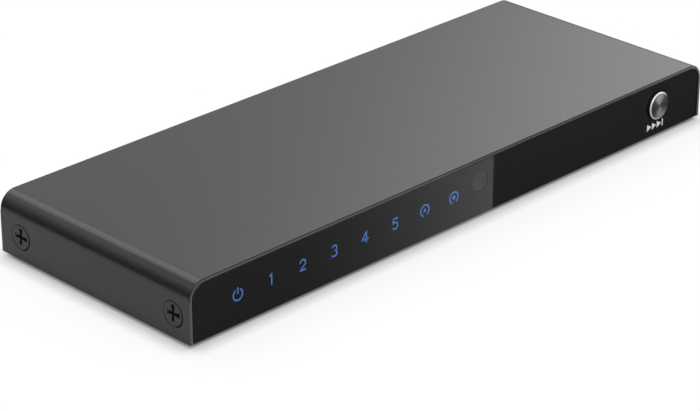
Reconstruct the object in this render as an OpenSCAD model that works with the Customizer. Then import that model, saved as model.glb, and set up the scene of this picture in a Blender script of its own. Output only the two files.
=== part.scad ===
/* [Case] */
// Width of the case from side to side
body_w = 178; // [174:1:220]
// Depth of the case from front to back
body_d = 66; // [64:1:90]
// Height of the case above its lower edge
body_h = 15.1; // [14.8:0.1:20]
// Outer radius of the two long top shoulders
shoulder_r = 4.4; // [3.2:0.1:5.2]
// Sheet thickness of the top cover
cover_t = 0.8; // [0.6:0.1:1]
// Sheet thickness of the base tray
tray_t = 0.8; // [0.6:0.1:1]
// Inner radius of the tray's bends
bend_r = 0.6; // [0.4:0.1:1]
// Gap between the cover and the tray
case_gap = 0.2; // [0.1:0.05:0.3]
// Depth of the rear wall behind the cover's rear edge
rear_recess = 0.25; // [0.1:0.05:0.5]

/* [Side screws] */
// Diameter of the countersunk heads
screw_head_d = 6; // [5.6:0.1:6.6]
// Diameter of the screws' threads
screw_d = 3; // [2.5:0.1:3.2]
// Length of the side screws
screw_l = 5; // [4:0.5:5.5]
// Front screws, behind the cover's front edge
screw_front_y = 5.5; // [5.2:0.1:8]
// Rear screws, before the cover's rear edge
screw_rear_y = 7.3; // [5:0.1:12]
// Height of the screws above the lower edge
screw_z = 5.9; // [5.4:0.1:6.5]
// Height of the tray's screw tabs
tab_h = 7; // [6.4:0.1:7.6]
// Length of tab beyond the screw's centre
tab_end = 4.5; // [3.5:0.1:6]

/* [Front panel] */
// Thickness of the panel
panel_t = 2; // [1.5:0.1:2.4]
// Depth of the panel's face behind the cover's front edge
panel_recess = 0.25; // [0.1:0.05:0.5]
// Gap between the panel and the cover
panel_gap = 0.25; // [0.15:0.05:0.4]
// Radius of the panel's lower corners
panel_low_r = 0.5; // [0.4:0.1:1.5]
// Thickness of the adhesive tape behind the panel
tape_t = 0.2; // [0.1:0.05:0.4]
// Number of lit marks
mark_count = 8; // [6:1:8]
// Spacing of the lit marks
mark_pitch = 10; // [9:0.1:10.2]
// First lit mark, from the left side of the case
mark_inset = 14.5; // [13:0.1:18]
// Height of the lit marks above the board
mark_rise = 2.6; // [2.4:0.1:3]
// Width and height of a light window
mark_window = 7; // [5:0.1:7.4]
// Diameter of the infrared window
ir_d = 5.4; // [4.6:0.1:6]
// Infrared window, right of the last lit mark
ir_step = 9.2; // [9:0.1:12]
// Height of the infrared window above the board
ir_rise = 3.9; // [3.6:0.1:4.2]

/* [Select button] */
// Diameter of the cap
button_d = 7.3; // [7:0.1:9]
// Button's centre, from the right side of the case
button_inset = 17.4; // [14:0.1:20]
// Height of the button's centre above the board
button_rise = 3.2; // [3.1:0.1:3.8]
// How far the cap stands out of the panel
button_proud = 1; // [0.8:0.1:2]
// Travel of the button
button_travel = 0.5; // [0.3:0.05:0.6]
// Gap around the cap in the panel
button_gap = 0.2; // [0.1:0.05:0.4]
// Chamfer of the cap's rim
button_rim = 0.35; // [0.2:0.05:0.7]
// Diameter of the stem behind the cap
stem_d = 5; // [4.4:0.1:5.6]
// Diameter of the push switch's plunger
plunger_d = 3.5; // [3:0.1:4]

/* [Board] */
// Thickness of the circuit board
board_t = 1.6; // [1.2:0.1:2]
// Room between the power jack and the inside of the cover's top
roof_gap = 0.9; // [0.5:0.1:1.5]
// Diameter of the standoffs
standoff_d = 5.2; // [4.6:0.1:6]
// Standoffs, from the sides of the case
standoff_inset = 13; // [11.5:0.1:15]
// Front standoffs, behind the case's front edge
standoff_front = 18; // [15:0.1:22]
// Rear standoffs, before the case's rear edge
standoff_rear = 20; // [18:0.1:24]
// Board's edges, from the sides of the case
board_inset = 7; // [6.6:0.1:8]

/* [Rear ports] */
// First video port, from the right side of the case
port_first = 37; // [35:0.1:40]
// Last video port, from the left side of the case
port_last = 21; // [18:0.1:30]
// Width of a port's mouth
mouth_w = 14; // [13.5:0.1:14.5]
// Height of a port's mouth
mouth_h = 4.55; // [4.3:0.05:4.8]
// Sheet thickness of a port's shell
shell_t = 0.3; // [0.2:0.05:0.4]
// Length of a port's shell
shell_l = 11.6; // [10.6:0.1:13]
// How far the shells stand out of the rear wall
port_proud = 0.4; // [0.3:0.05:0.6]
// Width of a port's tongue
tongue_w = 10.8; // [10.6:0.1:11.4]
// Thickness of a port's tongue
tongue_t = 1.6; // [1.4:0.1:1.8]
// Power jack, from the right side of the case
jack_inset = 15; // [13.5:0.1:17]
// Width of the power jack's body
jack_w = 9; // [8.8:0.1:10]
// Height of the power jack's axis above the board
jack_z = 4.3; // [4.2:0.05:4.5]
// Diameter of the power jack's bore
jack_bore = 6; // [5.7:0.1:6.2]
// Diameter of the power jack's centre pin
jack_pin = 2; // [1.6:0.1:2.5]

/* [Feet] */
// Diameter of the feet
foot_d = 9; // [7:0.5:12]
// Height of the feet
foot_h = 1; // [0.8:0.1:3]
// Feet, from the sides of the case
foot_side = 14; // [10:0.5:30]
// Feet, from the front and rear of the case
foot_end = 11; // [8:0.5:16]

/* [Hidden] */
$fn = 64;
// Clearance of pieces that are glued, pressed or screwed together
fit = 0.05;
// Gap between moving and fixed pieces that nearly touch
rest_gap = 0.1;
// How far a cutting shape runs past the face that it opens
over = 1;

// Levels, from the surface that the feet stand on
z_edge = foot_h;
z_floor = z_edge + tray_t;
z_top = z_edge + body_h;
z_lid = z_top - cover_t;
jack_wall = 1;
jack_nose_d = jack_bore + 2 * jack_wall;
jack_roof = 0.1;
jack_h = jack_z + jack_nose_d / 2 + jack_roof;
z_deck = z_lid - roof_gap - jack_h;
z_board = z_deck - board_t;
standoff_h = z_board - z_floor;

// Layers from front to rear
y_front = -body_d / 2;
y_rear = body_d / 2;
y_panel = y_front + panel_recess;
y_tape = y_panel + panel_t;
y_wall = y_tape + tape_t;
y_wall_in = y_wall + tray_t;
y_back = y_rear - rear_recess;
y_back_in = y_back - tray_t;

// Tray
bend_out = bend_r + tray_t;
wall_gap = 0.3;
x_side = body_w / 2 - cover_t;
x_tab = x_side - case_gap;
wall_hw = x_tab - bend_out;
wall_top = z_lid - case_gap;
inner_r = shoulder_r - cover_t;
tab_corner = 1.5;
tab_relief = 0.5;
tab_boss_d = 4.4;
tab_boss_l = 1.2;
screw_sink = 0.05;
screw_rim = 0.15;
z_screw = z_edge + screw_z;
cross_span = 3.3;
cross_slot = 0.85;
cross_depth = 1.2;

// Front row
panel_drop = 0.1;
tape_inset = 1;
tape_low = 0.3;
z_mark = z_deck + mark_rise;
z_ir = z_deck + ir_rise;
x_button = body_w / 2 - button_inset;
z_button = z_deck + button_rise;
function mark_x(i) = -body_w / 2 + mark_inset + i * mark_pitch;
x_ir = mark_x(mark_count - 1) + ir_step;
ir_hole_step = 0.4;
ir_hole_d = ir_d + 2 * ir_hole_step;

// Button train, from the cap's face to the push switch
y_cap = y_panel - button_proud;
cap_back = y_wall - button_travel - rest_gap;
cap_pocket = 0.9;
stem_gap = 0.25;
stem_hole_d = stem_d + 2 * stem_gap;
flange_step = 1.7;
flange_d = stem_hole_d + 2 * flange_step;
flange_t = 0.8;
nose_l = 2;
nose_step = 0.15;
nose_d = plunger_d + 2 * nose_step;
y_flange = y_wall_in + rest_gap;
y_nose = y_flange + flange_t + nose_l;
plunger_spare = 0.7;
plunger_out = button_travel + plunger_spare;
plunger_in = 1.2;
y_plunger = y_nose + rest_gap;
y_switch = y_plunger + plunger_out;
switch_w = 6.2;
switch_l = 4;
switch_plate_t = 0.3;
switch_plate_r = 1.5;
switch_edge = 0.2;
switch_foot_l = 1;
switch_foot_out = 1.5;
switch_foot_t = 0.2;

// Board and what stands on it
board_corner = 1.5;
flange_room = 0.6;
board_front_gap = rest_gap + flange_t + button_travel + flange_room;
board_rear_gap = 0.6;
x_board = body_w / 2 - board_inset;
y_board = y_wall_in + board_front_gap;
y_board_end = y_back_in - board_rear_gap;
board_screw_spare = 0.6;
board_screw_l = board_t + standoff_h - board_screw_spare;
board_screw_head_d = 5.6;
board_screw_top_d = 3.9;
board_screw_head_h = 1.9;
standoff_step = 0.6;
standoff_neck_d = standoff_d - 2 * standoff_step;
standoff_wall = 0.3;

// Light baffle and lamps
baffle_l = 4.6;
baffle_h = 6.6;
baffle_wall = 1.2;
lamp_w = 3.2;
lamp_l = 1.4;
lamp_h = 2.2;
lamp_wall = 0.2;
lamp_room = 2.6;
lamp_y = y_wall_in + lamp_room;

// Infrared receiver
receiver_w = 5.8;
receiver_l = 3.2;
receiver_h = 6.6;
receiver_lens_r = 2.1;
receiver_lead = 0.5;
receiver_lead_pitch = 1.8;
y_receiver = y_wall_in + wall_gap + receiver_lens_r;

// Ports
port_names = [
    "video_output",
    "video_input_1", "video_input_2", "video_input_3", "video_input_4", "video_input_5"
];
port_pitch = (body_w - port_first - port_last) / (len(port_names) - 1);
x_port = [for (i = [0:len(port_names) - 1]) body_w / 2 - port_first - i * port_pitch];
mouth_cut = 1.75;
mouth_turn = 45;
mouth_r = 0.4;
lip_grow = 0.4;
lip_l = 0.7;
lip_gap = 0.2;
port_lift = 0.2;
z_mouth = z_deck + shell_t + port_lift;
y_mouth = y_back + port_proud;
y_shell = y_mouth - shell_l;
port_gap = 0.25;
leg_w = 1.2;
leg_tip = 0.6;
leg_rear = 2.4;
leg_front = 3.2;
leg_places = [leg_rear, shell_l - leg_front];
slot_w = 0.35;
leaf_w = 1.8;
leaf_l = 5;
leaf_x = 3.4;
leaf_y = 2.2;
tongue_root = 3;
tongue_back = 1.3;
tongue_l = shell_l - tongue_root - tongue_back;
tongue_rise = 0.25;
tongue_low = (mouth_h - tongue_t) / 2 + tongue_rise;
tongue_bevel = 0.35;
contact_w = 0.45;
contact_t = 0.12;
contact_pitch = 1;
contact_tip = 0.5;
contact_root = 0.8;
contact_l = tongue_l - contact_tip - contact_root;
contacts_above = 10;
contacts_below = 9;

// Power jack
x_jack = body_w / 2 - jack_inset;
z_jack = z_deck + jack_z;
jack_l = 11;
jack_corner = 1.2;
jack_bore_l = 9.5;
jack_pin_back = 1;
jack_peg_d = 1.2;
jack_peg_step = 3;
jack_leaf_w = 2;
jack_leaf_t = 0.3;
jack_leaf_room = 0.7;
jack_leaf_press = 0.1;
jack_leaf_root = 2;
jack_leaf_flat = 1;
jack_leaf_slope = 22;
jack_leaf_dip = 0.2;
y_jack_face = y_back + port_proud;
y_jack_end = y_back_in - wall_gap;
y_jack = y_jack_end - jack_l;
y_jack_bore = y_jack_face - jack_bore_l;

// Chips and power parts, each placed on the board by its centre
chip_w = 14;
chip_t = 1.4;
chip_lift = 0.15;
chip_x = 6;
chip_y = -2;
chip_at = [chip_x, chip_y];
logic_inset = 55;
power_inset = 27;
x_logic = logic_inset - body_w / 2;
x_power = body_w / 2 - power_inset;
control_w = 9;
control_l = 6.5;
control_y = -8;
control_at = [x_logic, control_y];
regulator_w = 6.6;
regulator_l = 6.8;
regulator_t = 1.7;
power_y = -2;
regulator_at = [x_power, power_y];
coil_w = 7;
coil_h = 3.2;
coil_groove = 0.5;
coil_groove_t = 0.2;
coil_corner = 1.5;
coil_step = 12;
coil_at = [x_power - coil_step, power_y];
can_d = 6.3;
can_h = 5.6;
can_base_t = 0.6;
can_corner = 1.5;
can_step = 0.2;
can_half = 4;
can_y = 9;
can_at = [[x_power - can_half, can_y], [x_power + can_half, can_y]];
crystal_w = 11;
crystal_l = 4.6;
crystal_h = 3.5;
crystal_rim = 0.2;
crystal_y = 4;
crystal_at = [x_logic, crystal_y];
array_w = 2.6;
array_l = 1.2;
array_t = 0.6;
array_step = 3.4;
array_room = 2.6;
lead_w = 0.4;
lead_l = 1;
lead_pitch = 1;
lead_t = 0.2;

// Small edges
foot_bevel = 0.25;
plunger_bevel = 0.25;

// Helper shapes

// What a rounded lower right corner takes from a square one
module corner_cut(r)
    translate([-r, 0])
        difference() {
            square(r);
            translate([0, r]) circle(r);
        }

// Flat outline of width w from height z0 to z1, with rounded upper and lower corners
module arch(w, z0, z1, top_r, low_r)
    difference() {
        translate([-w / 2, z0]) square([w, z1 - z0]);
        for (side = [0, 1])
            mirror([side, 0]) {
                translate([w / 2, z1]) mirror([0, 1]) corner_cut(top_r);
                if (low_r > 0)
                    translate([w / 2, z0]) corner_cut(low_r);
            }
    }

// Stands a flat outline upright, from y to y + t
module upright(y, t)
    translate([0, y + t, 0])
        rotate([90, 0, 0])
            linear_extrude(t) children();

// Turns a shape that is made along +Z to run along +Y
module along_y() rotate([-90, 0, 0]) children();

// Quarter bend of a sheet, from +X to +Y around the Z axis
module bend(r, t, l)
    rotate_extrude(angle = 90)
        translate([r, 0]) square([t, l]);

// Both ends of the case, the right one as made and the left one mirrored
module both_sides()
    for (side = [0, 1])
        mirror([side, 0, 0]) children();

// Draws a shape to the right of x and its mirror image to the left
module both_sides_of(x)
    translate([x, 0, 0]) both_sides() children();

module at_side_screws()
    both_sides()
        for (y = [y_front + screw_front_y, y_rear - screw_rear_y])
            translate([body_w / 2 - screw_sink, y, z_screw])
                rotate([0, -90, 0]) children();

module at_marks()
    for (i = [0:mark_count - 1])
        translate([mark_x(i), z_mark]) children();

module at_standoffs()
    both_sides()
        for (y = [y_front + standoff_front, y_rear - standoff_rear])
            translate([body_w / 2 - standoff_inset, y, 0]) children();

module at_ports()
    for (x = x_port)
        translate([x, 0, 0]) children();

// Countersunk screw, its face at z = 0 and its tip at z = l, grown by g on the radius
module countersunk(l, g = 0)
    rotate_extrude()
        polygon([
            [0, g > 0 ? -over : 0],
            [screw_head_d / 2 + g, g > 0 ? -over : 0],
            [screw_head_d / 2 + g, screw_rim],
            [screw_d / 2 + g, screw_rim + (screw_head_d - screw_d) / 2],
            [screw_d / 2 + g, l],
            [0, l]
        ]);

// Cross recess of a screw head, from z = 0 down to depth
module cross_recess(depth)
    for (turn = [0, 90])
        rotate(turn)
            translate([-cross_span / 2, -cross_slot / 2, -over])
                cube([cross_span, cross_slot, depth + over]);

// Case

module top_cover()
    color("dimgray")
        difference() {
            union() {
                translate([-(body_w / 2 - shoulder_r), y_front, z_lid])
                    cube([body_w - 2 * shoulder_r, body_d, cover_t]);
                both_sides() {
                    translate([body_w / 2 - shoulder_r, y_rear, z_top - shoulder_r])
                        rotate([90, 0, 0]) bend(inner_r, cover_t, body_d);
                    translate([x_side, y_front, z_edge])
                        cube([cover_t, body_d, body_h - shoulder_r]);
                }
            }
            at_side_screws() countersunk(screw_l, fit);
        }

// One end of the tray, with its wall's outer face at y = 0 and its screws at screw_y
module tray_end(screw_y) {
    tab_l = screw_y + tab_end - bend_out;
    tab_z = z_screw - tab_h / 2;
    upright(0, tray_t)
        difference() {
            arch(2 * x_tab, z_edge + bend_out, wall_top, inner_r - case_gap, 0);
            for (side = [0, 1])
                mirror([side, 0])
                    translate([wall_hw, tab_z - tab_relief])
                        square([bend_out + over, tab_h + 2 * tab_relief]);
        }
    translate([-x_tab, bend_out, z_edge + bend_out])
        rotate([0, 90, 0]) rotate(-90) bend(bend_r, tray_t, 2 * x_tab);
    both_sides() {
        translate([wall_hw, bend_out, tab_z])
            rotate(-90) bend(bend_r, tray_t, tab_h);
        translate([x_tab - tray_t, bend_out, tab_z])
            rotate([90, 0, 90]) linear_extrude(tray_t) tab_outline(tab_l);
        translate([x_tab - tray_t - tab_boss_l, screw_y, z_screw])
            rotate([0, 90, 0]) cylinder(h = tab_boss_l, d = tab_boss_d);
    }
}

// Screw tab with two rounded corners at its free end
module tab_outline(l)
    difference() {
        square([l, tab_h]);
        translate([l, 0]) corner_cut(tab_corner);
        translate([l, tab_h]) mirror([0, 1]) corner_cut(tab_corner);
    }

// Windows for the marks, the infrared receiver and the button, each wider by g
module front_openings(g)
    union() {
        at_marks() square(mark_window + 2 * g, center = true);
        translate([x_ir, z_ir]) circle(d = ir_hole_d + 2 * g);
        translate([x_button, z_button]) circle(d = stem_hole_d + 2 * g);
    }

module base_tray()
    color("gray")
        difference() {
            union() {
                translate([-x_tab, y_wall + bend_out, z_edge])
                    cube([2 * x_tab, y_back - y_wall - 2 * bend_out, tray_t]);
                translate([0, y_wall, 0]) tray_end(y_front + screw_front_y - y_wall);
                translate([0, y_back, 0]) mirror([0, 1, 0]) tray_end(y_back - y_rear + screw_rear_y);
            }
            at_side_screws() countersunk(screw_l, fit);
            upright(y_wall - over, tray_t + 2 * over) front_openings(0);
            at_ports()
                upright(y_back_in - over, tray_t + 2 * over)
                    translate([0, z_mouth]) mouth_outline(shell_t + lip_grow + port_gap);
            translate([x_jack, y_back_in - over, z_jack])
                along_y() cylinder(h = tray_t + 2 * over, d = jack_nose_d + 2 * port_gap);
            at_standoffs()
                translate([0, 0, z_edge - over])
                    cylinder(h = tray_t + 2 * over, d = standoff_neck_d + 2 * fit);
        }

module cover_screws()
    color("silver")
        at_side_screws()
            difference() {
                countersunk(screw_l);
                cross_recess(cross_depth);
            }

module foot(right, rear)
    color("black")
        translate([
            right ? body_w / 2 - foot_side : foot_side - body_w / 2,
            rear ? y_rear - foot_end : y_front + foot_end,
            0
        ]) {
            cylinder(h = foot_bevel, d1 = foot_d - 2 * foot_bevel, d2 = foot_d);
            translate([0, 0, foot_bevel]) cylinder(h = foot_h - foot_bevel, d = foot_d);
        }

// Front panel

module front_panel()
    color("black")
        upright(y_panel, panel_t)
            difference() {
                arch(
                    2 * (x_side - panel_gap), z_edge - panel_drop, z_lid - panel_gap,
                    inner_r - panel_gap, panel_low_r
                );
                translate([x_ir, z_ir]) circle(d = ir_d + 2 * fit);
                translate([x_button, z_button]) circle(d = button_d + 2 * button_gap);
            }

module front_panel_tape()
    color("whitesmoke")
        upright(y_tape, tape_t)
            difference() {
                arch(
                    2 * (wall_hw - tape_inset), z_edge + bend_out + tape_low, wall_top - tape_inset,
                    inner_r - tape_inset, 0
                );
                front_openings(tape_inset / 2);
                translate([x_button, z_button]) circle(d = button_d + 2 * button_gap);
            }

module ir_window()
    color("dimgray")
        translate([x_ir, y_panel, z_ir])
            along_y() cylinder(h = panel_t, d = ir_d);

// Select button and its push switch

module select_button_cap()
    color("silver")
        translate([x_button, y_cap, z_button])
            along_y()
                rotate_extrude()
                    polygon([
                        [0, 0],
                        [button_d / 2 - button_rim, 0],
                        [button_d / 2, button_rim],
                        [button_d / 2, cap_back - y_cap],
                        [stem_d / 2 + fit, cap_back - y_cap],
                        [stem_d / 2 + fit, cap_pocket],
                        [0, cap_pocket]
                    ]);

module select_button_stem()
    color("white")
        translate([x_button, 0, z_button]) {
            translate([0, y_cap + cap_pocket + fit, 0])
                along_y() cylinder(h = y_flange - y_cap - cap_pocket - fit, d = stem_d);
            translate([0, y_flange, 0])
                along_y() cylinder(h = flange_t, d = flange_d);
            translate([0, y_flange + flange_t, 0])
                along_y() cylinder(h = nose_l, d = nose_d);
        }

module tact_switch_body()
    color("dimgray")
        difference() {
            union() {
                translate([x_button - switch_w / 2, y_switch + switch_plate_t, z_deck])
                    cube([switch_w, switch_l - switch_plate_t, z_button - z_deck + switch_w / 2]);
                upright(y_switch, switch_plate_t)
                    translate([x_button, 0])
                        arch(
                            switch_w - 2 * switch_edge, z_deck, z_button + switch_w / 2 - switch_edge,
                            switch_plate_r, 0
                        );
                both_sides_of(x_button)
                    translate([switch_w / 2, y_switch + (switch_l - switch_foot_l) / 2, z_deck])
                        cube([switch_foot_out, switch_foot_l, switch_foot_t]);
            }
            translate([x_button, y_switch - over, z_button])
                along_y() cylinder(
                    h = over + plunger_in + button_travel + rest_gap,
                    d = plunger_d + 2 * rest_gap
                );
        }

module tact_switch_plunger()
    color("black")
        translate([x_button, y_plunger, z_button])
            along_y() {
                cylinder(h = plunger_bevel, d1 = plunger_d - 2 * plunger_bevel, d2 = plunger_d);
                translate([0, 0, plunger_bevel])
                    cylinder(h = plunger_out + plunger_in - plunger_bevel, d = plunger_d);
            }

// Board

module main_board()
    color("darkgreen")
        difference() {
            translate([0, 0, z_board]) linear_extrude(board_t) board_outline();
            at_standoffs()
                translate([0, 0, z_board - over]) cylinder(h = board_t + 2 * over, d = screw_d + 4 * fit);
            at_ports() port_legs(fit, z_board - over, z_deck + over);
            at_jack_pegs(z_board - over) cylinder(h = board_t + 2 * over, d = jack_peg_d + 2 * fit);
            receiver_leads(fit, z_board - over, z_deck + over);
        }

module board_outline()
    difference() {
        translate([-x_board, y_board]) square([2 * x_board, y_board_end - y_board]);
        for (side = [0, 1])
            mirror([side, 0]) {
                translate([x_board, y_board]) corner_cut(board_corner);
                translate([x_board, y_board_end]) mirror([0, 1]) corner_cut(board_corner);
            }
    }

module board_standoffs()
    color("silver")
        at_standoffs()
            difference() {
                union() {
                    translate([0, 0, z_edge]) cylinder(h = tray_t, d = standoff_neck_d);
                    translate([0, 0, z_floor]) cylinder(h = standoff_h, d = standoff_d);
                }
                translate([0, 0, z_edge + standoff_wall])
                    cylinder(h = tray_t + standoff_h, d = screw_d + 2 * fit);
            }

module board_screws()
    color("silver")
        at_standoffs()
            translate([0, 0, z_deck])
                difference() {
                    union() {
                        translate([0, 0, -board_screw_l]) cylinder(h = board_screw_l, d = screw_d);
                        cylinder(h = board_screw_head_h / 2, d = board_screw_head_d);
                        translate([0, 0, board_screw_head_h / 2])
                            cylinder(
                                h = board_screw_head_h / 2,
                                d1 = board_screw_head_d, d2 = board_screw_top_d
                            );
                    }
                    translate([0, 0, board_screw_head_h])
                        mirror([0, 0, 1]) cross_recess(cross_depth);
                }

module indicator_leds()
    color("ivory")
        for (i = [0:mark_count - 1])
            translate([mark_x(i) - lamp_w / 2, lamp_y, z_deck])
                difference() {
                    cube([lamp_w, lamp_l, lamp_h]);
                    translate([lamp_wall, -over, lamp_wall])
                        cube([lamp_w - 2 * lamp_wall, over + lamp_wall, lamp_h - 2 * lamp_wall]);
                }

module led_baffle()
    color("black")
        translate([0, y_wall_in + rest_gap, z_deck])
            difference() {
                translate([mark_x(0) - mark_pitch / 2, 0, 0])
                    cube([mark_count * mark_pitch, baffle_l, baffle_h]);
                for (i = [0:mark_count - 1])
                    translate([mark_x(i) - (mark_pitch - baffle_wall) / 2, -over, -over])
                        cube([
                            mark_pitch - baffle_wall,
                            over + baffle_l - baffle_wall / 2,
                            over + baffle_h - baffle_wall
                        ]);
            }

module receiver_leads(g, z0, z1)
    for (i = [-1:1])
        translate([
            x_ir + i * receiver_lead_pitch - receiver_lead / 2 - g,
            y_receiver + (receiver_l - receiver_lead) / 2 - g,
            z0
        ])
            cube([receiver_lead + 2 * g, receiver_lead + 2 * g, z1 - z0]);

module ir_receiver()
    color("black")
        union() {
            translate([x_ir - receiver_w / 2, y_receiver, z_ir - receiver_h / 2])
                cube([receiver_w, receiver_l, receiver_h]);
            intersection() {
                translate([x_ir, y_receiver, z_ir]) sphere(r = receiver_lens_r);
                translate([x_ir - receiver_w / 2, y_receiver - receiver_h, z_ir - receiver_h / 2])
                    cube([receiver_w, receiver_h + receiver_l / 2, receiver_h]);
            }
            receiver_leads(0, z_board - leg_tip, z_ir);
        }

// Chips and power parts

// Flat chip with a row of leads on each of its long sides, or on all four
module chip(w, l, t, four)
    union() {
        translate([-w / 2, -l / 2, chip_lift]) cube([w, l, t]);
        for (side = [0, 1])
            mirror([0, side, 0]) lead_row(w, l / 2);
        if (four)
            for (side = [90, 270])
                rotate(side) lead_row(l, w / 2);
    }

module lead_row(w, y) {
    count = floor((w - lead_l) / lead_pitch);
    for (i = [0:count - 1])
        translate([(i - (count - 1) / 2) * lead_pitch - lead_w / 2, y - lead_l / 4, 0])
            cube([lead_w, lead_l, chip_lift + lead_t]);
}

module on_deck(at) translate([at[0], at[1], z_deck]) children();

module switch_chip() color("dimgray") on_deck(chip_at) chip(chip_w, chip_w, chip_t, true);

module control_chip() color("dimgray") on_deck(control_at) chip(control_w, control_l, chip_t, false);

module voltage_regulator()
    color("dimgray")
        on_deck(regulator_at)
            union() {
                translate([-regulator_w / 2, -regulator_l / 4, 0])
                    cube([regulator_w, regulator_l / 2, regulator_t]);
                translate([-regulator_w / 4, -regulator_l / 2, 0])
                    cube([regulator_w / 2, regulator_l / 2, lead_t]);
                for (i = [-1:1])
                    translate([i * regulator_w / 3 - lead_w, 0, 0])
                        cube([2 * lead_w, regulator_l / 2, lead_t]);
            }

module power_inductor()
    color("gray")
        on_deck(coil_at)
            difference() {
                linear_extrude(coil_h) arch(coil_w, -coil_w / 2, coil_w / 2, coil_corner, coil_corner);
                translate([0, 0, coil_h - coil_groove_t])
                    difference() {
                        cylinder(h = coil_groove_t + over, d = coil_w - 2 * coil_groove);
                        translate([0, 0, -over])
                            cylinder(h = coil_groove_t + 3 * over, d = coil_w - 4 * coil_groove);
                    }
            }

module bulk_capacitors()
    color("silver")
        for (at = can_at)
            on_deck(at)
                union() {
                    linear_extrude(can_base_t) arch(can_d, -can_d / 2, can_d / 2, can_corner, 0);
                    translate([0, 0, can_base_t])
                        rotate_extrude()
                            polygon([
                                [0, 0],
                                [can_d / 2 - can_step, 0],
                                [can_d / 2 - can_step, can_base_t],
                                [can_d / 2 - 2 * can_step, 2 * can_base_t],
                                [can_d / 2 - can_step, 3 * can_base_t],
                                [can_d / 2 - can_step, can_h - can_base_t - can_step],
                                [can_d / 2 - 2 * can_step, can_h - can_base_t],
                                [0, can_h - can_base_t]
                            ]);
                }

module clock_crystal()
    color("silver")
        on_deck(crystal_at)
            union() {
                linear_extrude(crystal_rim) crystal_outline(crystal_rim);
                translate([0, 0, crystal_rim])
                    linear_extrude(crystal_h - crystal_rim) crystal_outline(0);
            }

module crystal_outline(g) {
    half = (crystal_w - crystal_l) / 2;
    for (side = [-1, 1])
        translate([side * half, 0]) circle(d = crystal_l + 2 * g);
    square([2 * half, crystal_l + 2 * g], center = true);
}

module surge_arrays()
    color("dimgray")
        for (x = x_port)
            for (side = [-1, 1])
                translate([x + side * array_step - array_w / 2, y_shell - array_room - array_l, z_deck])
                    cube([array_w, array_l, array_t]);

// Video ports

// Mouth of a port, grown by g all round: wide above with rounded corners, slanted below
module mouth_outline(g) {
    half = mouth_w / 2 + g;
    slant = g * tan(mouth_turn / 2);
    difference() {
        polygon([
            [-half, mouth_h + g],
            [-half, mouth_cut - slant],
            [-half + mouth_cut + g - slant, -g],
            [half - mouth_cut - g + slant, -g],
            [half, mouth_cut - slant],
            [half, mouth_h + g]
        ]);
        for (side = [0, 1])
            mirror([side, 0])
                translate([half, mouth_h + g]) mirror([0, 1]) corner_cut(mouth_r + g);
    }
}

// Lip that is bent outwards at the mouth, w wide, with the shell's inner face at z = 0
module flared_lip(w)
    rotate([90, 0, 90])
        linear_extrude(w, center = true)
            polygon([[0, 0], [lip_l, lip_grow], [lip_l, lip_grow + shell_t], [0, shell_t]]);

// The four bent lips of a port, above, below and on both sides of its mouth
module port_lips() {
    upper_w = mouth_w - 2 * (mouth_r + lip_gap);
    lower_w = mouth_w - 2 * (mouth_cut + lip_gap);
    side_h = mouth_h - mouth_cut - mouth_r - 2 * lip_gap;
    translate([0, y_mouth - lip_l, z_mouth + mouth_h]) flared_lip(upper_w);
    translate([0, y_mouth - lip_l, z_mouth]) mirror([0, 0, 1]) flared_lip(lower_w);
    both_sides()
        translate([mouth_w / 2, y_mouth - lip_l, z_mouth + mouth_cut + lip_gap + side_h / 2])
            rotate([0, 90, 0]) flared_lip(side_h);
}

// The four legs of a shell, from z0 to z1, grown by g
module port_legs(g, z0, z1)
    both_sides()
        for (y = leg_places)
            translate([mouth_w / 2 - g, y_shell + y - g, z0])
                cube([shell_t + 2 * g, leg_w + 2 * g, z1 - z0]);

// Slots that free two spring leaves in the top or the bottom of a shell
module leaf_slots()
    for (x = [-leaf_x, leaf_x])
        translate([x, y_mouth - leaf_y - leaf_l, 0]) {
            for (side = [-1, 1])
                translate([side * (leaf_w + slot_w) / 2 - slot_w / 2, 0, 0])
                    cube([slot_w, leaf_l, mouth_h]);
            translate([-leaf_w / 2 - slot_w, leaf_l - slot_w, 0])
                cube([leaf_w + 2 * slot_w, slot_w, mouth_h]);
        }

module port_shell(x)
    color("silver")
        translate([x, 0, 0])
            union() {
                difference() {
                    upright(y_shell, shell_l - lip_l)
                        translate([0, z_mouth])
                            difference() {
                                mouth_outline(shell_t);
                                mouth_outline(0);
                            }
                    translate([0, 0, z_mouth + mouth_h / 2]) leaf_slots();
                    translate([0, 0, z_mouth - mouth_h / 2]) leaf_slots();
                }
                port_lips();
                port_legs(0, z_board - leg_tip, z_mouth + mouth_h / 2);
            }

module port_tongue(x)
    color("black")
        translate([x, 0, 0])
            union() {
                upright(y_shell, tongue_root)
                    translate([0, z_mouth]) mouth_outline(-fit);
                translate([-tongue_w / 2, y_shell + tongue_root, z_mouth + tongue_low])
                    rotate([90, 0, 90])
                        linear_extrude(tongue_w)
                            polygon([
                                [-fit, 0],
                                [tongue_l - tongue_bevel, 0],
                                [tongue_l, tongue_bevel],
                                [tongue_l, tongue_t - tongue_bevel],
                                [tongue_l - tongue_bevel, tongue_t],
                                [-fit, tongue_t]
                            ]);
            }

module contact_row(count, z)
    for (i = [0:count - 1])
        translate([
            (i - (count - 1) / 2) * contact_pitch - contact_w / 2,
            y_mouth - tongue_back - contact_tip - contact_l,
            z
        ])
            cube([contact_w, contact_l, contact_t]);

module port_contacts(x)
    color("gold")
        translate([x, 0, z_mouth + tongue_low]) {
            contact_row(contacts_above, tongue_t);
            contact_row(contacts_below, -contact_t);
        }

// Power jack

module at_jack_pegs(z)
    for (y = [jack_peg_step, jack_l - jack_peg_step])
        translate([x_jack, y_jack + y, z]) children();

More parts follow.
